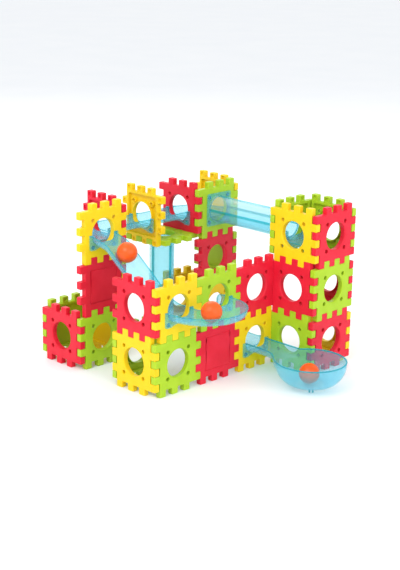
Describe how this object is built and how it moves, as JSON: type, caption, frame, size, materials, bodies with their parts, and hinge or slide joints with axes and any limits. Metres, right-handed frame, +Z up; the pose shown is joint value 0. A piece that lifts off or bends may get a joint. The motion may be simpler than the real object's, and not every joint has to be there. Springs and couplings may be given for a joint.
{
  "type": "marble run",
  "caption": "Toy marble run of interlocking comb-edged square panels forming towers, with clear peg-on tracks, tubes and a catching bowl for large rolling balls.",
  "frame": {"origin": "on the floor, under the middle of the whole toy's bounding box", "axes": "+Z up; +Y from the catching bowl's end to the back towers, the longest way; +X from the corner tower to the tall right tower"},
  "size_m": [0.495, 0.6254, 0.3747],
  "materials": {
    "red_plastic": "moulded, satin gloss",
    "yellow_plastic": "moulded, satin gloss",
    "green_plastic": "moulded, satin gloss",
    "clear_blue_plastic": "clear tinted, polished",
    "orange_plastic": "moulded, glossy"
  },
  "bodies": {
    "run": {"corner_low_left_yellow": "yellow_plastic", "corner_low_front_green": "green_plastic", "corner_low_back_green": "green_plastic", "corner_mid_left_red": "red_plastic", "corner_mid_front_yellow": "yellow_plastic", "wall_low_red": "red_plastic", "wall_mid_green": "green_plastic", "wall_low_yellow": "yellow_plastic", "wall_mid_red": "red_plastic", "right_low_left_green": "green_plastic", "right_low_front_red": "red_plastic", "right_low_side_yellow": "yellow_plastic", "right_mid_left_red": "red_plastic", "right_mid_front_green": "green_plastic", "right_mid_side_red": "red_plastic", "right_top_left_yellow": "yellow_plastic", "right_top_front_red": "red_plastic", "right_top_side_green": "green_plastic", "right_top_back_green": "green_plastic", "left_low_left_red": "red_plastic", "left_low_front_green": "green_plastic", "left_low_back_green": "green_plastic", "left_low_side_yellow": "yellow_plastic", "left_mid_front_red": "red_plastic", "left_mid_side_yellow": "yellow_plastic", "left_top_front_yellow": "yellow_plastic", "left_top_side_red": "red_plastic", "bridge_yellow": "yellow_plastic", "bridge_platform_green": "green_plastic", "centre_top_left_red": "red_plastic", "centre_top_front_green": "green_plastic", "centre_top_side_yellow": "yellow_plastic", "centre_mid_front_red": "red_plastic", "centre_mid_side_green": "green_plastic", "centre_low_front_yellow": "yellow_plastic", "centre_low_side_red": "red_plastic", "centre_low_back_yellow": "yellow_plastic", "slide_track": "clear_blue_plastic", "u_turn_track": "clear_blue_plastic", "inner_turn_track": "clear_blue_plastic", "left_straight_track": "clear_blue_plastic", "right_straight_track": "clear_blue_plastic", "left_elbow_track": "clear_blue_plastic", "centre_elbow_track": "clear_blue_plastic", "right_elbow_track": "clear_blue_plastic", "level_tube": "clear_blue_plastic", "hanging_tube": "clear_blue_plastic", "catching_bowl": "clear_blue_plastic"},
    "ball_on_slide": {"slide_ball": "orange_plastic"},
    "ball_on_turn": {"turn_ball": "orange_plastic"},
    "ball_in_bowl": {"bowl_ball": "orange_plastic"}
  },
  "joints": [
    {"name": "slide_ball_travel", "type": "slide", "parent": "run", "child": "ball_on_slide", "axis": [0, -0.8001, -0.5999], "range_m": [-0.022, 0.1117]},
    {"name": "turn_ball_travel", "type": "hinge", "parent": "run", "child": "ball_on_turn", "pos_m": [-0.12, -0.07726, 0.18965], "axis": [0, 0, 1], "range_deg": [-59, 121]},
    {"name": "bowl_ball_travel", "type": "hinge", "parent": "run", "child": "ball_in_bowl", "pos_m": [0.051, -0.23374, 0.03265], "axis": [0, 0, 1], "continuous": true}
  ]
}
